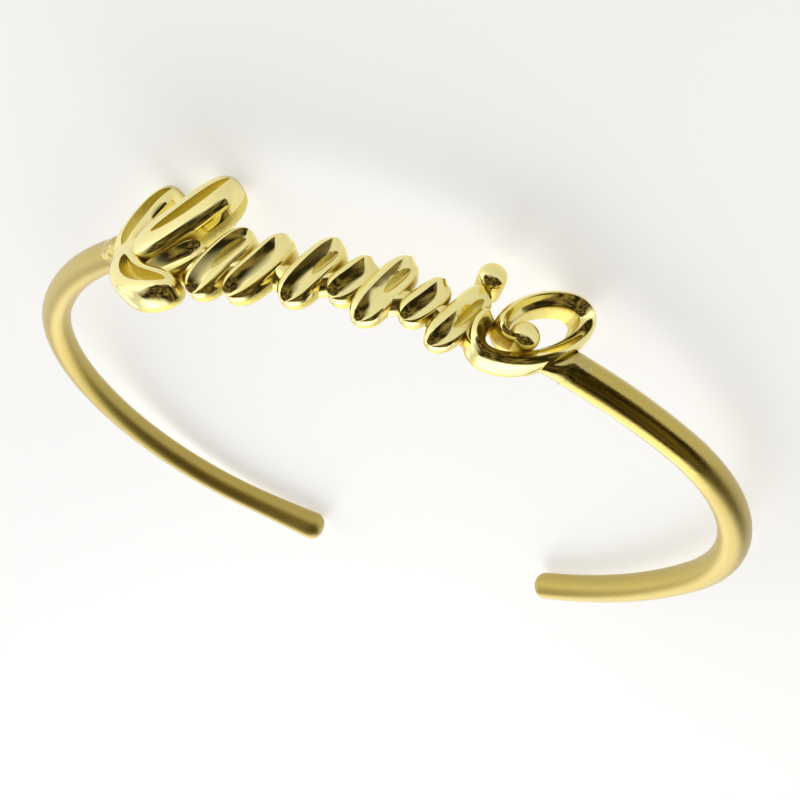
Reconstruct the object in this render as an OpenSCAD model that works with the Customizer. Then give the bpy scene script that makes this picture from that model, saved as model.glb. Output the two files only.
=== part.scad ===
// Open cuff bracelet: a pierced leaf-and-scroll plate soldered between two arms of round wire.
// It is drawn as it is worn and seen from the front: X to the right, Y towards the open back, Z up.
// Last, it is turned over and leant on the plate's highest points, as it lies on a table by itself.

/* [Wire] */
// Diameter of the round wire
wire_d = 2.4; // [1.8:0.1:3]
// Half of the cuff's width, to the middle of the wire
half_w = 30.5; // [28.5:0.5:33]
// Radius of the gentle bend across the front
front_r = 34.2; // [33.6:0.1:40]
// Radius of the side bend of the arm beside the tall leaves
leaf_side_r = 19.4; // [17:0.1:21]
// Radius of the side bend of the arm beside the scroll
scroll_side_r = 15.9; // [14:0.1:19]
// Radius of the back bend of the arm beside the tall leaves
leaf_back_r = 47.4; // [38:0.1:60]
// Radius of the back bend of the arm beside the scroll
scroll_back_r = 34.8; // [33:0.1:46]
// Clear gap between the two ends
mouth = 24; // [18:0.5:30]
// Rounding of the rim of each end
end_round = 0.7; // [0.3:0.1:0.85]

/* [Plate] */
// Length of the plate along the front bend, from one wire to the other
plate_len = 36.4; // [34:0.1:38]
// How far the plate's middle sits from the cuff's middle, towards the scroll
plate_shift = 4.6; // [3.5:0.1:5.5]
// Thickness of the plate at its upright rim
wall_t = 1.7; // [1.4:0.1:2]
// Thickness of the low web between the leaves
web_t = 1.3; // [1:0.1:1.4]
// Reach of the solder along each wire from the plate
solder_len = 1; // [0.8:0.1:1.4]

/* [Leaves] */
// Reach of the tall leaves above the wire's plane
leaf_rise = 5.5; // [4.8:0.1:6.2]
// Reach of the lowest leaf below the wire's plane
leaf_drop = 4.7; // [4.2:0.1:5.4]
// Width of the widest leaf
leaf_w = 4; // [3.6:0.1:4.4]
// Height of the widest leaf's crown above the rim
crown = 1; // [0.6:0.1:1.3]
// Diameter of the berries
berry_d = 1.9; // [1.6:0.1:2.2]

/* [Stem and scroll] */
// Width of the wavy stem
stem_w = 1.5; // [1.2:0.1:2]
// Width of the webs
web_w = 1.7; // [1.4:0.1:2]
// Rise and fall of the wavy stem
stem_wave = 0.45; // [0:0.05:0.8]
// Reach of the scroll above the wire's plane
scroll_rise = 4.7; // [4.2:0.1:4.8]
// Radius of the scroll across its lean, to the middle of its outer turn
scroll_r = 2.6; // [2.4:0.1:2.8]
// Width of the scroll's outer turn
scroll_w = 1.3; // [1:0.1:1.5]

/* [Hidden] */
$fn = 24;
wire_r = wire_d / 2;
berry_r = berry_d / 2;
gold = [0.83, 0.68, 0.25];
satin_gold = [0.76, 0.62, 0.25];

// The plate is made with spare metal behind, then turned off flush with the wire's inner side
back_h = -wire_r;
spare_t = 0.4;
spare_h = back_h - spare_t;
rim_h = back_h + wall_t;
web_h = back_h + web_t;
plate_from = plate_shift - plate_len / 2;
plate_to = plate_shift + plate_len / 2;

// Leaves, each a row of shares. Start and end lie along plate_len, and up leaf_rise or down
// leaf_drop. The bow is to the right of the leaf's way, over its length. The width is of leaf_w.
start_u = 0;
start_v = 1;
end_u = 2;
end_v = 3;
bow = 4;
width = 5;
TALL_LEAVES = [
    [0.055, -0.27, 0.092, 0.975, -0.13, 0.76],
    [0.100, -0.28, 0.256, 1.00, 0.07, 0.96],
    [0.060, -0.05, 0.258, -0.80, 0.21, 0.74],
];
SLANTED_LEAVES = [
    [0.132, -0.68, 0.262, -0.04, 0.05, 0.58],
    [0.290, -0.88, 0.356, 0.22, -0.06, 0.66],
    [0.364, -0.82, 0.432, 0.25, 0.04, 0.62],
    [0.482, -0.70, 0.530, 0.34, -0.05, 0.64],
    [0.550, -0.44, 0.600, 0.22, 0.04, 0.52],
    [0.620, -0.66, 0.662, 0.40, -0.05, 0.60],
    [0.684, -0.40, 0.733, 0.28, 0.04, 0.50],
    [0.746, -0.62, 0.800, 0.42, 0.04, 0.56],
];

// Cross-sections above the rim: across as a share of the half width, height as one of the crown
across = 0;
height = 1;
DISHED = [[1, 0], [0.93, 0.5], [0.74, 0.85], [0.45, 0.4], [0.2, 0.2], [0, 0.6]];
TROUGH = [[1, 0], [0.92, 0.6], [0.72, 1], [0.42, 0.4], [0, 0.1]];
ROUNDED = [[1, 0], [0.88, 0.48], [0.5, 0.87], [0, 1]];
least_w = 0.12;

// A leaf's width along its way: the first share draws its widest place towards the start, and the
// second makes its ends blunt
leaf_lead = 0.92;
leaf_blunt = 0.44;

// Wider pieces stand a little prouder, for each millimetre of their width, so no two rims are level
proud = 0.06;
leaf_steps = 12;
stem_steps = 36;
scroll_steps = 36;
berry_steps = 10;
back_sides = 120;
web_sides = 16;
wire_sides = 20;
wire_step = 5;
end_steps = 3;
leaf_shares = [for (i = [0 : leaf_steps]) (1 - cos(180 * i / leaf_steps)) / 2];
scroll_shares = [for (i = [0 : scroll_steps]) i / scroll_steps];

// The cuff leans on the tips of the tall leaves, with the far end of the wire on the table too
foot_z = max([for (row = TALL_LEAVES) reach_of(row)]);
foot_y = wrapped(on_plate(TALL_LEAVES[1][end_u], 1), back_h).y;
end_y = bends(leaf_side_r, leaf_back_r)[2].y + sqrt(pow(leaf_back_r, 2) - pow(mouth / 2, 2));
lean = atan2(foot_z, end_y - foot_y) - asin(wire_r / norm([foot_z, end_y - foot_y]));
front_y = -rim_h - proud * leaf_w - crown;

// The scroll leans over and winds in to a berry
scroll_lean = 0.72;
scroll_stretch = 1.3;
scroll_start = 190;
scroll_turn = 455;
scroll_wind = 0.68;
scroll_thin = 0.25;
scroll_middle = [
    plate_to - max([for (t = scroll_shares) scroll_shape(t).x + scroll_width(t) / 2]),
    scroll_rise - max([for (t = scroll_shares) scroll_shape(t).y + scroll_width(t) / 2]),
];

// The stem sways between the first wire's end and the scroll, and thins out towards both
stem_sag = 1.1;
stem_waves = 5.5;
stem_thin = 0.2;

// How much of each wire's end is buried in the plate, how thin it is filed there, and where its
// solder spreads: the places on the scroll are shares of its turn
leaf_sink = 0.82;
scroll_sink = 1.46;
neck = 0.66;
solder_r = 0.85 * wire_r;
LEAF_SEATS = [on_plate(0.045, 0.14), on_plate(0.05, -0.2)];
SCROLL_SEATS = [scroll_at(0.3), scroll_at(0.36)];

// How far a berry's middle lies beyond its leaf's tip, and the larger one's place and size, as shares
berry_seat = 0.8;
boss_u = 0.066;
boss_v = -0.15;
boss_size = 1.4;

as_it_lies() bracelet();

module bracelet() {
    arms();
    plate();
}

// Both arms, soldered to the plate and bent round to the ends
module arms() {
    color(satin_gold) {
        arm(scroll_side_r, scroll_back_r, deg(plate_to - scroll_sink));
        mirror([1, 0, 0]) arm(leaf_side_r, leaf_back_r, deg(-plate_from - leaf_sink));
    }
}

module plate() {
    color(gold) difference() {
        union() {
            leaves();
            webs();
            stem();
            scroll();
            berries();
            solder(plate_from - solder_len, LEAF_SEATS);
            solder(plate_to + solder_len / 2, SCROLL_SEATS);
        }
        translate([0, front_r, 0])
            cylinder(r = front_r + back_h, h = 4 * leaf_rise, center = true, $fn = back_sides);
    }
}

// The wire from the plate to its end, in three bends that run on into each other
module arm(side_r, back_r, from) {
    middles = bends(side_r, back_r);
    to_side = atan2(middles[1].x, front_r - middles[1].y);
    to_back = 180 - atan2(middles[1].x, middles[1].y - middles[2].y);
    round_a = end_round / back_r * 180 / PI;
    to_end = 180 - asin(mouth / 2 / back_r) - round_a;
    rim = [for (i = [0 : end_steps]) 90 * i / end_steps];
    skin(concat(
        [hoop(middles[0], front_r, from, wire_r * neck)],
        bend(middles[0], front_r, from + deg(solder_len), to_side),
        bend(middles[1], side_r, to_side, to_back),
        bend(middles[2], back_r, to_back, to_end),
        [for (a = rim) hoop(middles[2], back_r, to_end + round_a * sin(a),
            wire_r - end_round * (1 - cos(a)))]));
}

// Hoops of the wire along an arc, its angles counted from the front towards the right
function bend(middle, radius, from, to) =
    let (n = ceil((to - from) / wire_step))
    [for (i = [0 : n - 1]) hoop(middle, radius, from + (to - from) * i / n, wire_r)];
function hoop(middle, radius, a, r) = [
    for (i = [0 : wire_sides - 1])
        let (b = 360 * i / wire_sides, out = radius + r * cos(b))
        [middle.x + out * sin(a), middle.y - out * cos(a), r * sin(b)],
];

module leaves() {
    for (row = TALL_LEAVES) leaf(row, DISHED);
    for (row = SLANTED_LEAVES) leaf(row, TROUGH);
}

module leaf(row, top) {
    puffed([for (t = leaf_shares) along(row, t)], [for (t = leaf_shares) leaf_width(row, t)],
        rim_h + proud * row[width] * leaf_w, top);
}

// Low webs that join each leaf to the next, and the last one to the scroll
module webs() {
    middles = concat([for (row = SLANTED_LEAVES) along(row, 0.5)], [scroll_at(0.06)]);
    for (i = [0 : len(middles) - 2]) hull() {
        post(middles[i]);
        post(middles[i + 1]);
    }
}

module post(p) {
    translate(wrapped(p, spare_h)) rotate([0, 0, deg(p.x)]) rotate([90, 0, 0])
        cylinder(d = web_w, h = web_h - spare_h, $fn = web_sides);
}

module stem() {
    shares = [for (i = [0 : stem_steps]) i / stem_steps];
    from = [plate_from, 0];
    to = scroll_at(0.03);
    puffed(
        [for (t = shares) from + t * (to - from)
            - [0, stem_sag * sin(180 * t) + stem_wave * sin(360 * stem_waves * t)]],
        [for (t = shares) stem_w * (1 - stem_thin + stem_thin * sin(180 * t))],
        web_h + proud * stem_w, ROUNDED);
}

module scroll() {
    puffed([for (t = scroll_shares) scroll_at(t)], [for (t = scroll_shares) scroll_width(t)],
        rim_h + proud * scroll_w, ROUNDED);
}

// A berry at the last leaf's tip, one in the scroll and a larger one where the tall leaves meet
module berries() {
    last = SLANTED_LEAVES[len(SLANTED_LEAVES) - 1];
    berry(along(last, 1) + [0, berry_seat * berry_r], berry_r);
    berry(scroll_at(1), berry_r);
    berry(on_plate(boss_u, boss_v), boss_size * berry_r);
}

module berry(middle, radius) {
    shares = [for (i = [0 : berry_steps]) 180 * i / berry_steps];
    puffed([for (a = shares) middle - [radius * cos(a), 0]],
        [for (a = shares) max(least_w, 2 * radius * sin(a))],
        rim_h + proud * 2 * radius, ROUNDED);
}

// A fillet of solder that thins out along the wire and spreads to its seats on the plate
module solder(u, seats) {
    hull() {
        translate(wrapped([u, 0], 0)) sphere(solder_r);
        for (p = seats) post(p);
    }
}

// A puffed bar with a flat back, along a spine of points of the plate, with its width at each and
// its upright sides up to the height of rim
module puffed(spine, widths, rim, top) {
    last = len(spine) - 1;
    rings = [for (i = [0 : last])
        let (way = unit(spine[min(i + 1, last)] - spine[max(i - 1, 0)]))
        section(spine[i], [way.y, -way.x] * widths[i] / 2, rim, crown * widths[i] / leaf_w, top)];
    skin(rings);
}

// A closed solid over a row of rings, each with the same number of points
module skin(rings) {
    last = len(rings) - 1;
    n = len(rings[0]);
    sides = [for (i = [0 : last - 1], j = [0 : n - 1])
        let (a = i * n + j, b = i * n + (j + 1) % n)
        each [[a, b + n, a + n], [a, b, b + n]]];
    ends = [for (j = [1 : n - 2]) each
        [[0, j + 1, j], [last * n, last * n + j, last * n + j + 1]]];
    polyhedron([for (r = rings) each r], concat(sides, ends));
}

// One closed section of a bar: the middle of its back, then round over the top from side to side
function section(middle, side, rim, rise, top) = [
    wrapped(middle, spare_h),
    wrapped(middle + side, spare_h),
    for (p = top) wrapped(middle + side * p[across], rim + rise * p[height]),
    for (i = [len(top) - 2 : -1 : 0])
        wrapped(middle - side * top[i][across], rim + rise * top[i][height]),
    wrapped(middle - side, spare_h),
];

// A point of the plate: x along the front bend, y up, h outwards from the wire's middle
function wrapped(p, h) = [
    (front_r + h) * sin(deg(p.x)),
    front_r - (front_r + h) * cos(deg(p.x)),
    p.y,
];
function deg(length) = length / front_r * 180 / PI;
function on_plate(u, v) = [plate_from + u * plate_len, v * (v > 0 ? leaf_rise : leaf_drop)];
function unit(v) = v / norm(v);

// A point along a leaf's bowed middle line
function along(row, t) =
    let (
        a = on_plate(row[start_u], row[start_v]),
        b = on_plate(row[end_u], row[end_v]),
        c = (a + b) / 2 + 2 * row[bow] * [b.y - a.y, a.x - b.x])
    a * pow(1 - t, 2) + c * 2 * t * (1 - t) + b * pow(t, 2);

function leaf_width(row, t) =
    max(least_w, row[width] * leaf_w * pow(sin(180 * pow(t, leaf_lead)), leaf_blunt));

// How high a leaf's outline reaches, its slanting sides included
function reach_of(row) = max([for (i = [1 : leaf_steps])
    let (
        p = along(row, leaf_shares[i]),
        way = unit(p - along(row, leaf_shares[i - 1])))
    p.y + abs(way.x) * leaf_width(row, leaf_shares[i]) / 2]);

function scroll_shape(t) =
    let (
        a = scroll_start + scroll_turn * t,
        r = scroll_r * (1 - scroll_wind * pow(t, 3)))
    r * [cos(a) + scroll_lean * sin(a), scroll_stretch * sin(a)];
function scroll_at(t) = scroll_middle + scroll_shape(t);
function scroll_width(t) = scroll_w * (1 - scroll_thin * t);

// The middles of an arm's three bends
function bends(side_r, back_r) =
    let (
        side_x = half_w - side_r,
        side_y = front_r - sqrt(pow(front_r - side_r, 2) - pow(side_x, 2)),
        back_y = side_y - sqrt(pow(back_r - side_r, 2) - pow(side_x, 2)))
    [[0, front_r, 0], [side_x, side_y, 0], [0, back_y, 0]];

// Turned over, leant back and set down with its middle over the origin
module as_it_lies() {
    span = end_y + wire_r - front_y;
    translate([0, -(front_y + span / 2) * cos(lean), foot_y * sin(lean) + foot_z * cos(lean)])
        rotate([-lean, 0, 0]) rotate([0, 180, 0]) children();
}
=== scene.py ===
import math

import bmesh
import bpy
from mathutils import Matrix, Vector


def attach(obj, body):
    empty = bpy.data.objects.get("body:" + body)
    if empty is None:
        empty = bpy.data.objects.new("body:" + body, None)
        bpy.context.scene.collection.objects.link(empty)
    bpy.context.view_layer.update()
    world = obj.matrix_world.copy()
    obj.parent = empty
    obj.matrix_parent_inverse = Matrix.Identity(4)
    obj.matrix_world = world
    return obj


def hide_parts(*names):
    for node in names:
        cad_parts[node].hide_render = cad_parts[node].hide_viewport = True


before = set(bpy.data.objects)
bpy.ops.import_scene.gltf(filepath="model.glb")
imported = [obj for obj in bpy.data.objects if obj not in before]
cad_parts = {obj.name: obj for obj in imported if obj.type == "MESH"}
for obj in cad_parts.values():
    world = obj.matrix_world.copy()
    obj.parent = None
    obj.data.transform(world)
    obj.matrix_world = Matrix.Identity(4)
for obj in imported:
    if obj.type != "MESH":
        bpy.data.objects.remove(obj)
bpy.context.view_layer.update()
bpy.ops.object.select_all(action="DESELECT")

# The camera looks at the cuff from where it was photographed: in front of the plate and above it,
# a hand's breadth away. The cuff lies turned over, so the picture's top is towards the floor.
camera_data = bpy.data.cameras.new("camera")
camera_data.lens = 49.352
camera_data.sensor_width = 36
camera_data.clip_start = 0.002
camera = bpy.data.objects.new("camera", camera_data)
bpy.context.scene.collection.objects.link(camera)
camera_at = (-0.0420411, -0.0664399, 0.0468058)
to_right = (-0.87886, 0.229514, -0.418245)
to_top = (0.186383, -0.641829, -0.743853)
to_camera = (-0.439166, -0.731696, 0.5213)
aimed = Matrix((to_right, to_top, to_camera)).transposed().to_4x4()
camera.matrix_world = Matrix.Translation(camera_at) @ aimed
bpy.context.scene.camera = camera

# The arms are round gold plated brass wire, each bent cold in three arcs round the wrist and cut
# off with a softly rounded rim. They are drawn in millimetres as worn, front towards -Y.
wire_r = 1.2
front_r = 34.2
plate_from = -13.6
plate_to = 22.8
half_w = 30.5
mouth = 24.0
wire_sides = 48
turn_step = math.radians(1.5)
rim_steps = 10
swell_len = 7.0
hair = 0.01

# It is turned over on to the table, moved to the middle of it, and leans on its highest points
millimetre = 0.001
lean = math.radians(5.78944)
box_middle = 21.898082
tips_below = 5.694977
SET_DOWN = (
    Matrix.Scale(millimetre, 4)
    @ Matrix.Translation((0, -box_middle, tips_below))
    @ Matrix.Rotation(-lean, 4, "X")
    @ Matrix.Rotation(math.pi, 4, "Y")
)


def pick(piece, wanted, kind="verts"):
    """In edit mode, selects just the vertices, edges or faces that are wanted."""
    shape = bmesh.from_edit_mesh(piece.data)
    bpy.context.tool_settings.mesh_select_mode = [kind == k for k in ("verts", "edges", "faces")]
    for part in (*shape.verts, *shape.edges, *shape.faces):
        part.select_set(False)
    for part in getattr(shape, kind):
        if wanted(part):
            part.select_set(True)
    shape.select_flush_mode()
    bmesh.update_edit_mesh(piece.data)


def face_outwards():
    """Ends the shaping of a closed piece: all its faces point outwards."""
    bpy.ops.mesh.select_all(action="SELECT")
    bpy.ops.mesh.normals_make_consistent(inside=False)
    bpy.ops.object.mode_set(mode="OBJECT")


def set_down(piece, smooth_below):
    """Turns a finished piece over on to the table, in metres, with its creases left crisp."""
    bpy.ops.object.select_all(action="DESELECT")
    piece.select_set(True)
    bpy.context.view_layer.objects.active = piece
    piece.matrix_world = SET_DOWN @ piece.matrix_world
    bpy.ops.object.transform_apply(location=True, rotation=True, scale=True)
    bpy.ops.object.shade_smooth_by_angle(angle=math.radians(smooth_below))
    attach(piece, "root")
    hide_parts("bracelet")


def wire_arm(name, hand, side_r, back_r, start, tip_r, rim):
    """An arm from the plate to its end, to the right for hand 1 and to the left for hand -1."""
    side_x = half_w - side_r
    side_y = front_r - math.sqrt((front_r - side_r) ** 2 - side_x**2)
    back_y = side_y - math.sqrt((back_r - side_r) ** 2 - side_x**2)
    from_a = start / front_r
    to_side = math.atan2(side_x, front_r - side_y)
    to_back = math.pi - math.atan2(side_x, side_y - back_y)
    to_end = math.pi - math.asin(mouth / 2 / back_r) - rim / back_r
    bpy.ops.mesh.primitive_circle_add(
        vertices=wire_sides, radius=wire_r, fill_type="NGON",
        location=(hand * front_r * math.sin(from_a), front_r - front_r * math.cos(from_a), 0),
        rotation=(math.pi / 2, 0, hand * from_a + math.pi / 2))
    arm = bpy.context.object
    arm.name = name
    bpy.ops.object.transform_apply(location=True, rotation=True, scale=True)
    bpy.ops.object.mode_set(mode="EDIT")
    bpy.ops.mesh.select_all(action="SELECT")
    for middle, turn in (
        ((0, front_r, 0), to_side - from_a),
        ((hand * side_x, side_y, 0), to_back - to_side),
        ((0, back_y, 0), to_end - to_back),
    ):
        bpy.ops.mesh.spin(
            steps=math.ceil(turn / turn_step), angle=-hand * turn, center=middle, axis=(0, 0, 1))
    end = Vector((hand * back_r * math.sin(to_end), back_y - back_r * math.cos(to_end), 0))
    way = Vector((hand * math.cos(to_end), math.sin(to_end), 0))
    radius, along = wire_r, 0.0
    for step in range(1, rim_steps + 1):
        a = math.pi / 2 * step / rim_steps
        narrowed = wire_r - rim * (1 - math.cos(a))
        ahead = rim * math.sin(a)
        bpy.ops.mesh.extrude_region_move(
            TRANSFORM_OT_translate={"value": way * (ahead - along)})
        bpy.ops.transform.resize(
            value=(narrowed / radius,) * 3, center_override=end + way * ahead)
        radius, along = narrowed, ahead
    # The end is upset a little, so it swells towards the tip, but not down into the table
    turns = math.ceil((to_end - to_back) / turn_step)
    for step in range(turns + 1):
        a = to_back + (to_end - to_back) * step / turns
        swell = max(0, 1 - (to_end - a) * back_r / swell_len) ** 1.5
        grown = 1 + (tip_r / wire_r - 1) * swell
        if grown > 1:
            here = Vector((hand * back_r * math.sin(a), back_y - back_r * math.cos(a), 0))
            onward = Vector((hand * math.cos(a), math.sin(a), 0))
            reach = 2 * wire_r if step == turns else hair
            pick(arm, lambda v: (v.co - here).length < 2.5 * wire_r
                 and -hair < (v.co - here).dot(onward) < reach)
            bpy.ops.transform.resize(
                value=(grown,) * 3, center_override=here + Vector((0, 0, wire_r)))
    face_outwards()
    return arm


scroll_arm = wire_arm(
    "scroll_arm", 1, side_r=15.9, back_r=34.8, start=plate_to - 0.6, tip_r=wire_r, rim=0.75)
leaf_arm = wire_arm(
    "leaf_arm", -1, side_r=19.4, back_r=47.4, start=-plate_from - 0.4, tip_r=1.38, rim=0.95)


def feed(tree, node, inputs):
    """Feeds a node's inputs with values, or with other nodes' outputs."""
    for socket, value in inputs.items():
        if isinstance(value, bpy.types.NodeSocket):
            tree.links.new(value, node.inputs[socket])
        else:
            node.inputs[socket].default_value = value


def add_node(tree, kind, inputs, **settings):
    """Adds a node with its settings, feeds it, and gives its outputs."""
    node = tree.nodes.new(kind)
    for key, value in settings.items():
        setattr(node, key, value)
    feed(tree, node, inputs)
    return node.outputs


def add_maths(tree, operation, *values):
    """Works out one number from others."""
    inputs = dict(enumerate(values))
    return add_node(tree, "ShaderNodeMath", inputs, operation=operation)["Value"]


def add_noise(tree, place, scale, detail, roughness=0.5):
    """Uneven from 0 to 1, as broken up as its scale, detail and roughness say."""
    return add_node(tree, "ShaderNodeTexNoise", {
        "Vector": place, "Scale": scale, "Detail": detail, "Roughness": roughness})["Fac"]


def add_range(tree, value, found, given, kind="LINEAR"):
    """Turns the range that a value is found in into the range that is given."""
    return add_node(tree, "ShaderNodeMapRange", {
        "Value": value, "From Min": found[0], "From Max": found[1],
        "To Min": given[0], "To Max": given[1]}, interpolation_type=kind)["Result"]


def add_blend(tree, share, first, second):
    """Goes from the first colour to the second with a share from 0 to 1."""
    share_in, first_in, second_in, colour_out = 0, 6, 7, 2
    inputs = {share_in: share, first_in: first, second_in: second}
    return add_node(tree, "ShaderNodeMix", inputs, data_type="RGBA")[colour_out]


def new_metal(name):
    """A new metal, its nodes, and the places on the piece that its marks stay at."""
    metal = bpy.data.materials.new(name)
    metal.use_nodes = True
    return metal, metal.node_tree, add_node(metal.node_tree, "ShaderNodeTexCoord", {})["Object"]


def finish_metal(tree, tint, rough, marks, strength, depth, **coat):
    """Gives a metal its colour, its gloss and the relief of its marks."""
    relief = add_node(tree, "ShaderNodeBump", {
        "Height": marks, "Strength": strength, "Distance": depth})["Normal"]
    feed(tree, tree.nodes["Principled BSDF"], {
        "Base Color": tint, "Metallic": 1.0, "Roughness": rough, "Normal": relief, **coat})


# Buffed bright next to the scroll, where the solder was cleaned off, and satin from there on
satin_gold, tree, place = new_metal("satin_gold")
scroll_join = (-0.0209, -0.0148, 0.005)
off_join = add_node(
    tree, "ShaderNodeVectorMath", {0: place, 1: scroll_join}, operation="DISTANCE")["Value"]
ragged = add_maths(tree, "MULTIPLY_ADD", add_noise(tree, place, 900.0, 3.0), 0.004, off_join)
dull = add_range(tree, ragged, (0.0095, 0.0165), (0.12, 0.48), "SMOOTHSTEP")
grain = add_noise(tree, place, 6500.0, 4.0, 0.7)
rough = add_maths(tree, "ADD", dull, add_range(tree, grain, (0.0, 1.0), (-0.07, 0.07)))
drawn = add_node(tree, "ShaderNodeMapping", {
    "Vector": place, "Rotation": (0.1, 0.0, 0.62), "Scale": (350.0, 5200.0, 5200.0)})["Vector"]
lines = add_noise(tree, drawn, 1.0, 5.0, 0.65)
marks = add_maths(tree, "MULTIPLY_ADD", grain, 0.5, lines)
tint = add_blend(tree, grain, (0.48, 0.37, 0.075, 1), (0.66, 0.52, 0.135, 1))
finish_metal(
    tree, tint, rough, marks, strength=0.35, depth=0.00003,
    **{"Coat Weight": 0.5, "Coat Roughness": 0.25})
for arm in (scroll_arm, leaf_arm):
    arm.data.materials.append(satin_gold)
    set_down(arm, smooth_below=40)

# Each joint is a fillet of gold coloured hard solder, which ran from the wire's end on to the
# plate. It froze a little lumpy, and was filed to the wire and buffed.
fillet_sides = 64
fillet_steps = 14
inset = 0.985
overlap = 0.03
thins_from = 0.55
lump_size = 0.7

solder_gold, tree, place = new_metal("solder_gold")
pits = add_noise(tree, place, 3200.0, 4.0, 0.6)
rough = add_range(tree, pits, (0.35, 0.7), (0.08, 0.26))
tint = add_blend(tree, pits, (0.34, 0.27, 0.08, 1), (0.76, 0.64, 0.25, 1))
finish_metal(tree, tint, rough, pits, strength=0.2, depth=0.00004)


def lay_fillet(name, hand, start, length, slant, spread, thin, lump):
    """Solder from its start on the wire for its length: it turns to the plate's slant, spreads
    upright and thins at its end. Slant is in degrees, spread and thin are shares of the wire."""
    bpy.ops.mesh.primitive_circle_add(
        vertices=fillet_sides, radius=inset * wire_r, fill_type="NGON",
        rotation=(math.pi / 2, 0, math.pi / 2))
    solder = bpy.context.object
    solder.name = name
    bpy.ops.object.transform_apply(location=True, rotation=True, scale=True)
    bpy.ops.object.mode_set(mode="EDIT")
    bpy.ops.mesh.select_all(action="SELECT")
    wide = thick = inset
    for step in range(1, fillet_steps + 1):
        t = step / fillet_steps
        over_wire = inset + overlap * min(1, 2 * t)
        wider = over_wire + spread * (1 - math.sqrt(1 - 0.98 * t**3))
        thicker = over_wire - thin * max(0, t - thins_from) / (1 - thins_from)
        at = Vector((-hand * length * t, wire_r, 0))
        bpy.ops.mesh.extrude_region_move(
            TRANSFORM_OT_translate={"value": (-hand * length / fillet_steps, 0, 0)})
        bpy.ops.transform.resize(value=(1, thicker / thick, wider / wide), center_override=at)
        bpy.ops.transform.rotate(
            value=-math.radians(hand * slant / fillet_steps), orient_axis="Y", center_override=at)
        wide, thick = wider, thicker
    face_outwards()
    lumpy = bpy.data.textures.new(name, "CLOUDS")
    lumpy.noise_scale = lump_size
    swell = solder.modifiers.new("swell", "DISPLACE")
    swell.texture = lumpy
    swell.strength = lump
    swell.mid_level = 0.45
    bpy.ops.object.modifier_apply(modifier="swell")
    solder.matrix_world = (
        Matrix.Translation((0, front_r, 0))
        @ Matrix.Rotation(hand * start / front_r, 4, "Z")
        @ Matrix.Translation((0, -front_r, 0)))
    solder.data.materials.append(solder_gold)
    set_down(solder, smooth_below=60)


lay_fillet(
    "scroll_solder", 1, start=plate_to + 0.7, length=2.7, slant=41,
    spread=0.36, thin=0.5, lump=0.05)
lay_fillet(
    "leaf_solder", -1, start=-plate_from + 0.9, length=2.4, slant=-14,
    spread=0.4, thin=0.2, lump=0.03)

# The plate is cast in one piece of brass, gold plated, and its front is polished like a mirror. It
# is drawn flat as bars with a flat back, with heights from the wire's middle towards the front,
# and is bent to the wrist at the end. Its thickness follows the wire, so it joins flush behind.
plate_len = plate_to - plate_from
leaf_rise = 5.5
leaf_drop = 4.7
back_h = -wire_r
spare_h = back_h - 0.4
rim_h = back_h + 1.7
web_h = back_h + 1.3
roll_h = -0.2
proud = 0.06

polished_gold, tree, place = new_metal("polished_gold")
wavy = add_noise(tree, place, 450.0, 2.0)
shine = add_blend(tree, wavy, (0.91, 0.80, 0.32, 1), (0.97, 0.88, 0.42, 1))
gloss = add_range(tree, wavy, (0.3, 0.7), (0.04, 0.12))
# The mop doesn't reach into the clefts, so they stay rough and dull. Their colour is also darkened
# to ochre wherever ambient occlusion finds them: painted shade
ao_openness = add_node(tree, "ShaderNodeAmbientOcclusion", {"Distance": 0.0013}, samples=8)["AO"]
cleft_shade_and_dullness = add_range(tree, ao_openness, (0.3, 0.82), (1.0, 0.0))
# Painted shade: the colour goes from the polished gold to dark ochre as ambient occlusion closes
# in, while the roughness added below is real dullness
tint = add_blend(tree, cleft_shade_and_dullness, shine, (0.46, 0.33, 0.06, 1))
rough = add_maths(tree, "MULTIPLY_ADD", cleft_shade_and_dullness, 0.28, gloss)
finish_metal(tree, tint, rough, wavy, strength=0.12, depth=0.0001)

# The back and the upright walls keep the fine grain of the mould
cast_gold, tree, place = new_metal("cast_gold")
grain = add_noise(tree, place, 5000.0, 5.0, 0.65)
tint = add_blend(tree, grain, (0.66, 0.53, 0.09, 1), (0.96, 0.82, 0.27, 1))
finish_metal(tree, tint, 0.34, grain, strength=0.5, depth=0.00008)


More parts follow.
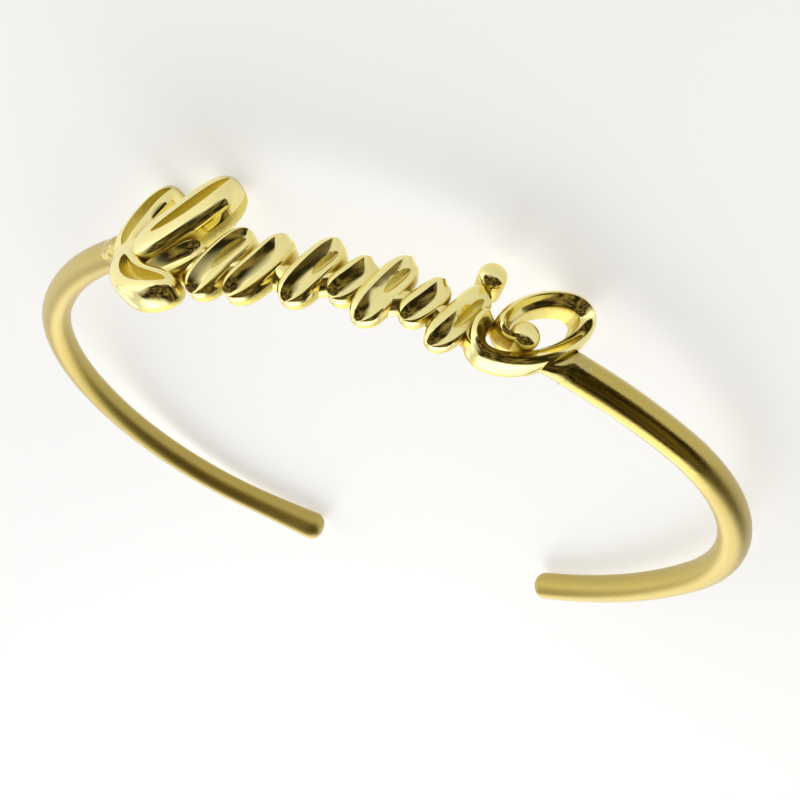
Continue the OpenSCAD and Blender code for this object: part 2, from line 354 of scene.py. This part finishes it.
def cast_bar(name, line, widths, section, rim, peak, bottom=spare_h, low=1.0):
    """A bar with a flat back: a grid whose columns are raised to the section, and whose rows are
    then drawn in to their widths, lowered towards the start, turned and moved on to the line."""
    rows, columns = len(line), len(section)
    bpy.ops.mesh.primitive_grid_add(
        x_subdivisions=rows - 1, y_subdivisions=columns - 1, size=2)
    bar = bpy.context.object
    bar.name = name
    bar.data.materials.append(polished_gold)
    bar.data.materials.append(cast_gold)
    bpy.ops.object.mode_set(mode="EDIT")
    shape = bmesh.from_edit_mesh(bar.data)
    row_of = {v.index: round((v.co.x + 1) / 2 * (rows - 1)) for v in shape.verts}
    column_of = {v.index: round((v.co.y + 1) / 2 * (columns - 1)) for v in shape.verts}
    crisp = shape.edges.layers.float.new("crease_edge")
    for edge in shape.edges:
        first, second = (column_of[v.index] for v in edge.verts)
        if first == second:
            edge[crisp] = section[first][2]
    for j, (across, height, _) in enumerate(section):
        pick(bar, lambda v: column_of[v.index] == j)
        bpy.ops.transform.translate(
            value=(0, -across - (2 * j / (columns - 1) - 1), height))
    widest = max(widths)
    for i, (point, w) in enumerate(zip(line, widths)):
        x = 2 * i / (rows - 1) - 1
        way = line[min(i + 1, rows - 1)] - line[max(i - 1, 0)]
        raised = (peak - rim) * math.sqrt(w / widest) * (low + (1 - low) * i / (rows - 1))
        pick(bar, lambda v: row_of[v.index] == i)
        bpy.ops.transform.resize(value=(1, w / 2, raised), center_override=(x, 0, 0))
        bpy.ops.transform.rotate(
            value=-math.atan2(way.y, way.x), orient_axis="Z", center_override=(x, 0, 0))
        bpy.ops.transform.translate(value=(point.x - x, point.y, rim))
    bpy.ops.mesh.select_all(action="SELECT")
    bpy.ops.mesh.remove_doubles(threshold=0.0001)
    pick(bar, lambda e: e.is_boundary, "edges")
    bpy.ops.mesh.extrude_edges_move(TRANSFORM_OT_translate={"value": (0, 0, -1)})
    bpy.ops.transform.resize(value=(1, 1, 0), center_override=(0, 0, bottom))
    bpy.ops.mesh.edge_face_add()
    pick(bar, lambda f: len(f.verts) > 4 or min(v.co.z for v in f.verts) < bottom + hair, "faces")
    bar.active_material_index = 1
    bpy.ops.object.material_slot_assign()
    face_outwards()
    finer = bar.modifiers.new("finer", "SUBSURF")
    finer.levels = finer.render_levels = 2
    bpy.ops.object.modifier_apply(modifier="finer")
    return bar


# The leaves have a rolled rim. The three tall ones are puffed and hollowed all along, and the
# slanted ones have a ridge on their left and are chased hollow on their right, most at the top.
leaf_w = 4.0
crown = 1.0
hollow_depth = 1.05


def both_sides(half):
    """A section from the right rim to the left one, from its right half."""
    return half + [(-across, height, crease) for across, height, crease in reversed(half[:-1])]


# Sections across a bar: across, height, and how crisp the crease is there
PUFFED = both_sides([
    (1, 0, 0), (0.995, 0.25, 0), (0.96, 0.52, 0), (0.87, 0.78, 0), (0.7, 0.94, 0),
    (0.38, 1.03, 0), (0, 1.03, 0)])
SCOOPED = both_sides([(1, 0, 0), (0.85, 0.5, 0), (0.5, 0.88, 0), (0, 1, 0)])
ROOFED = [
    (1, 0, 0), (0.985, 0.2, 0), (0.93, 0.4, 0), (0.82, 0.5, 0.6), (0.62, 0.44, 0), (0.3, 0.56, 0),
    (0, 0.8, 0), (-0.26, 1.08, 1), (-0.5, 1.04, 0), (-0.76, 0.88, 0), (-0.93, 0.6, 0),
    (-0.99, 0.28, 0), (-1, 0, 0)]

# Each leaf: start and end along and up the plate, bow to the right, width, section, rim's height,
# height left at its start, and its hollow: from and to along it, width and place to the right
TALL_LEAVES = [
    ((0.055, -0.27), (0.092, 0.975), -0.13, 0.76, PUFFED, roll_h, 0.92, (0.08, 0.94, 0.46, 0.12)),
    ((0.100, -0.28), (0.256, 1.00), 0.07, 0.96, PUFFED, 0.4, 0.92, (0.22, 0.96, 0.32, 0.03)),
    ((0.060, -0.05), (0.258, -0.80), 0.21, 0.74, PUFFED, roll_h, 0.92, (0.20, 0.92, 0.40, -0.12)),
]
SLANTED_LEAVES = [
    ((0.132, -0.68), (0.262, -0.04), 0.05, 0.58, ROOFED, roll_h, 0.60, None),
    ((0.290, -0.88), (0.356, 0.22), -0.06, 0.66, ROOFED, roll_h, 0.60, (0.22, 0.95, 0.34, 0.16)),
    ((0.364, -0.82), (0.432, 0.25), 0.04, 0.62, ROOFED, roll_h, 0.60, None),
    ((0.478, -0.72), (0.532, 0.34), -0.03, 0.62, ROOFED, roll_h, 0.60, (0.30, 0.95, 0.36, 0.22)),
    ((0.550, -0.44), (0.600, 0.22), 0.04, 0.54, ROOFED, roll_h, 0.60, None),
    ((0.616, -0.68), (0.666, 0.40), -0.03, 0.60, ROOFED, roll_h, 0.42, (0.28, 0.95, 0.42, 0.19)),
    ((0.684, -0.40), (0.733, 0.28), 0.04, 0.52, ROOFED, roll_h, 0.42, None),
    ((0.746, -0.62), (0.800, 0.42), 0.04, 0.56, ROOFED, roll_h, 0.42, (0.16, 0.92, 0.46, 0.18)),
]


def on_plate(u, v):
    """A place given by shares of the plate's length and of the leaves' rise or drop."""
    return Vector((plate_from + u * plate_len, v * (leaf_rise if v > 0 else leaf_drop)))


def leaf_line(start, end, bow, shares):
    """Points along the middle of a leaf, which is bowed by a share of its length."""
    start, end = on_plate(*start), on_plate(*end)
    bend = (start + end) / 2 + 2 * bow * Vector((end.y - start.y, start.x - end.x))
    return [start * (1 - t) ** 2 + bend * 2 * t * (1 - t) + end * t * t for t in shares]


def round_ended(shares, width, blunt=3.8):
    """Widths along a bar that keeps its breadth and ends round."""
    return [width * math.sqrt(max(0, 1 - abs(2 * t - 1) ** blunt)) for t in shares]


leaf_shares = [(1 - math.cos(math.pi * i / 18)) / 2 for i in range(19)]
cast, hollows = [], []
for n, row in enumerate(TALL_LEAVES + SLANTED_LEAVES):
    start, end, bow, broad, section, rim, low, hollow = row
    width = broad * leaf_w
    top = rim_h + proud * width + crown * broad
    cast.append(cast_bar(
        f"leaf_{n}", leaf_line(start, end, bow, leaf_shares), round_ended(leaf_shares, width),
        section, rim, top, low=low))
    if hollow:
        first, last, across, aside = hollow
        hollow_shares = [first + (last - first) * t for t in leaf_shares]
        offset = Vector((end[1] - start[1], start[0] - end[0])).normalized() * aside * width
        hollows.append(cast_bar(
            f"hollow_{n}",
            [point + offset for point in leaf_line(start, end, bow, hollow_shares)],
            round_ended(leaf_shares, across * width, blunt=2), SCOOPED,
            rim=top + 0.1, peak=top - hollow_depth, bottom=5))

# The scroll is one bar of the casting with a sharp ridge. It winds in to a berry, and its outer
# turn carries the end of the other wire.
scroll_w = 1.3
scroll_r = 2.6
scroll_middle = Vector((19.2154, 1.17807))
scroll_start = 190
scroll_turn = 455
winds_in = 0.68
scroll_slant = 0.72
scroll_height = 1.3
scroll_peak = 1.25
long_shares = [i / 54 for i in range(55)]
RIDGED = [
    (1, 0, 0), (0.98, 0.34, 0), (0.88, 0.7, 0), (0.62, 0.96, 0), (0.18, 1.08, 0.95),
    (-0.14, 0.86, 0), (-0.46, 0.68, 0), (-0.78, 0.56, 0), (-1, 0.5, 0.95)]


def scroll_at(t):
    """A point of the scroll, from its outer end at 0 to its inner end at 1."""
    a = math.radians(scroll_start + scroll_turn * t)
    r = scroll_r * (1 - winds_in * t**3)
    return scroll_middle + r * Vector((
        math.cos(a) + scroll_slant * math.sin(a), scroll_height * math.sin(a)))


cast.append(cast_bar(
    "scroll", [scroll_at(t) for t in long_shares],
    [scroll_w * (1 - 0.25 * t) for t in long_shares], RIDGED, roll_h, scroll_peak))

# The stem and the webs are low round bars of the same casting, set back behind the leaves. The
# stem waves from the first leaf to the scroll, and a web ties each slanted leaf to the next.
stem_w = 1.5
stem_sag = 1.1
stem_wave = 0.45
stem_waves = 5.5
web_w = 1.7
web_steps = 6
ROUND = both_sides([(1, 0, 0), (0.92, 0.38, 0), (0.71, 0.71, 0), (0.38, 0.92, 0), (0, 1, 0)])
stem_from = Vector((plate_from, 0))
stem_to = scroll_at(0.03)
stem_line = [
    stem_from.lerp(stem_to, t) - Vector((
        0, stem_sag * math.sin(math.pi * t) + stem_wave * math.sin(2 * math.pi * stem_waves * t)))
    for t in long_shares]
cast.append(cast_bar(
    "stem", stem_line, [stem_w * (0.8 + 0.2 * math.sin(math.pi * t)) for t in long_shares],
    ROUND, rim=roll_h - 0.5, peak=web_h + 0.25))

tied = [leaf_line(*row[:3], [0.5])[0] for row in SLANTED_LEAVES] + [scroll_at(0.06)]
for n, (this, other) in enumerate(zip(tied, tied[1:])):
    cast.append(cast_bar(
        f"web_{n}", [this.lerp(other, i / web_steps) for i in range(web_steps + 1)],
        [web_w] * (web_steps + 1), ROUND, rim=web_h - 0.9, peak=web_h + 0.15))

# The berries are cast on as well: one on the last leaf's tip, one in the scroll, and a flat one
# where the tall leaves meet. Each is a ball, with its lower half drawn down to an upright wall.
berry_r = 0.95
boss_r = 1.33
last_start, last_end, last_bow = SLANTED_LEAVES[-1][:3]
last_tip = leaf_line(last_start, last_end, last_bow, [1])[0] + Vector((0, 0.8 * berry_r))
for n, (place, r, flattened) in enumerate((
    (last_tip, berry_r, 0.68),
    (scroll_at(1), berry_r, 0.68),
    (on_plate(0.066, -0.15), boss_r, 0.4),
)):
    seat = rim_h + proud * 2 * r
    bpy.ops.mesh.primitive_uv_sphere_add(
        segments=48, ring_count=32, radius=r, location=(place.x, place.y, seat))
    berry = bpy.context.object
    berry.name = f"berry_{n}"
    bpy.ops.object.transform_apply(location=True, rotation=True, scale=True)
    berry.data.materials.append(polished_gold)
    berry.data.materials.append(cast_gold)
    bpy.ops.object.mode_set(mode="EDIT")
    pick(berry, lambda v: v.co.z > seat + 0.001)
    bpy.ops.transform.resize(value=(1, 1, flattened), center_override=(place.x, place.y, seat))
    pick(berry, lambda v: v.co.z < seat - 0.001)
    bpy.ops.transform.translate(value=(0, 0, -1.5))
    bpy.ops.transform.resize(value=(1, 1, 0), center_override=(place.x, place.y, spare_h))
    pick(berry, lambda f: f.calc_center_median().z < seat - hair, "faces")
    berry.active_material_index = 1
    bpy.ops.object.material_slot_assign()
    bpy.ops.object.mode_set(mode="OBJECT")
    cast.append(berry)


def carve(piece, tool, how):
    """Joins a tool to a piece, or cuts it away from it, and clears the tool away."""
    bpy.ops.object.select_all(action="DESELECT")
    bpy.context.view_layer.objects.active = piece
    step = piece.modifiers.new("step", "BOOLEAN")
    step.operation = how
    step.solver = "MANIFOLD"
    step.object = tool
    bpy.ops.object.modifier_apply(modifier="step")
    bpy.data.objects.remove(tool)


# The casting is one solid with the hollows chased into it. It is stood up, bent to the front arc,
# and its spare metal is turned off behind, flush with the inner side of the wire.
plate = cast[0]
plate.name = "plate"
for other in cast[1:]:
    carve(plate, other, "UNION")
for hollow in hollows:
    carve(plate, hollow, "DIFFERENCE")
bpy.ops.object.select_all(action="DESELECT")
plate.select_set(True)
plate.rotation_euler = (math.pi / 2, 0, 0)
bpy.ops.object.transform_apply(location=True, rotation=True, scale=True)
sideways = [v.co.x for v in plate.data.vertices]
bend = plate.modifiers.new("bend", "SIMPLE_DEFORM")
bend.deform_method = "BEND"
bend.deform_axis = "Z"
bend.angle = (max(sideways) - min(sideways)) / front_r
bpy.ops.object.modifier_apply(modifier="bend")
bpy.ops.mesh.primitive_cylinder_add(
    vertices=360, radius=front_r + back_h, depth=30, location=(0, front_r, 0))
lathe = bpy.context.object
lathe.data.materials.append(cast_gold)
carve(plate, lathe, "DIFFERENCE")
set_down(plate, smooth_below=32)

# The table is a wide sheet of smooth white paper that lies flat, and it is lit from below as a
# light table is, so the cuff's shadow on it stays soft and pale.
bpy.ops.mesh.primitive_circle_add(vertices=96, radius=4, fill_type="NGON", location=(0, 0, 0))
table = bpy.context.object
table.name = "table"
paper = bpy.data.materials.new("paper")
paper.use_nodes = True
feed(paper.node_tree, paper.node_tree.nodes["Principled BSDF"], {
    "Base Color": (0.60, 0.60, 0.60, 1), "Roughness": 0.45,
    "Emission Color": (1.0, 1.0, 1.0, 1), "Emission Strength": 0.56})
table.data.materials.append(paper)

# The light comes from a tent of white cloth with soft folds, and from a lamp behind its far wall.
# Its front is open to a dim warm room, which only the metal mirrors: the camera sees a plain pale
# backdrop. Its sides and middle are directions from the cuff.
room_across = (-0.7983, 0.2680, -0.5394)
room_upward = (-0.1535, -0.9045, -0.3980)
room_middle = (-0.5973, -0.2364, 0.7668)
lamp_middle = (0.1, 0.86, 0.5)
opening_w = 0.95
opening_h = 0.87
corner = 0.15

world = bpy.data.worlds.new("tent")
bpy.context.scene.world = world
bpy.context.scene.view_settings.view_transform = "Standard"
world.use_nodes = True
tree = world.node_tree
way = add_node(tree, "ShaderNodeTexCoord", {})["Generated"]


def facing(middle):
    """How far the way that light comes from faces a direction."""
    return add_node(
        tree, "ShaderNodeVectorMath", {0: way, 1: middle}, operation="DOT_PRODUCT")["Value"]


far_x = add_maths(tree, "ABSOLUTE", add_maths(tree, "DIVIDE", facing(room_across), opening_w))
far_y = add_maths(tree, "ABSOLUTE", add_maths(tree, "DIVIDE", facing(room_upward), opening_h))
far = add_maths(tree, "SMOOTH_MAX", far_x, far_y, corner)
opening = add_range(tree, far, (0.8, 1.12), (1.0, 0.0), "SMOOTHSTEP")
in_front = add_range(tree, facing(room_middle), (0.1, 0.2), (0.0, 1.0))
seen = add_maths(tree, "MULTIPLY", opening, in_front)
cloth = add_range(tree, add_noise(tree, way, 2.2, 1.0), (0.35, 0.65), (0.8, 1.6), "SMOOTHSTEP")
lamp = add_range(tree, facing(lamp_middle), (0.78, 0.92), (0.0, 0.8), "SMOOTHSTEP")
bright = add_maths(tree, "ADD", cloth, lamp)
white = add_node(tree, "ShaderNodeCombineXYZ", {0: bright, 1: bright, 2: bright})["Vector"]
depth = add_range(tree, add_noise(tree, way, 4.5, 3.0), (0.45, 0.7), (0.02, 0.3))
room = add_node(tree, "ShaderNodeVectorMath", {
    0: (1.0, 0.76, 0.3), "Scale": depth}, operation="SCALE")["Vector"]
mirrored = add_blend(tree, seen, white, room)
direct = add_node(tree, "ShaderNodeLightPath", {})["Is Camera Ray"]
backdrop = add_blend(tree, direct, mirrored, (0.94, 0.94, 0.94, 1))
feed(tree, tree.nodes["Background"], {"Color": backdrop, "Strength": 1.0})
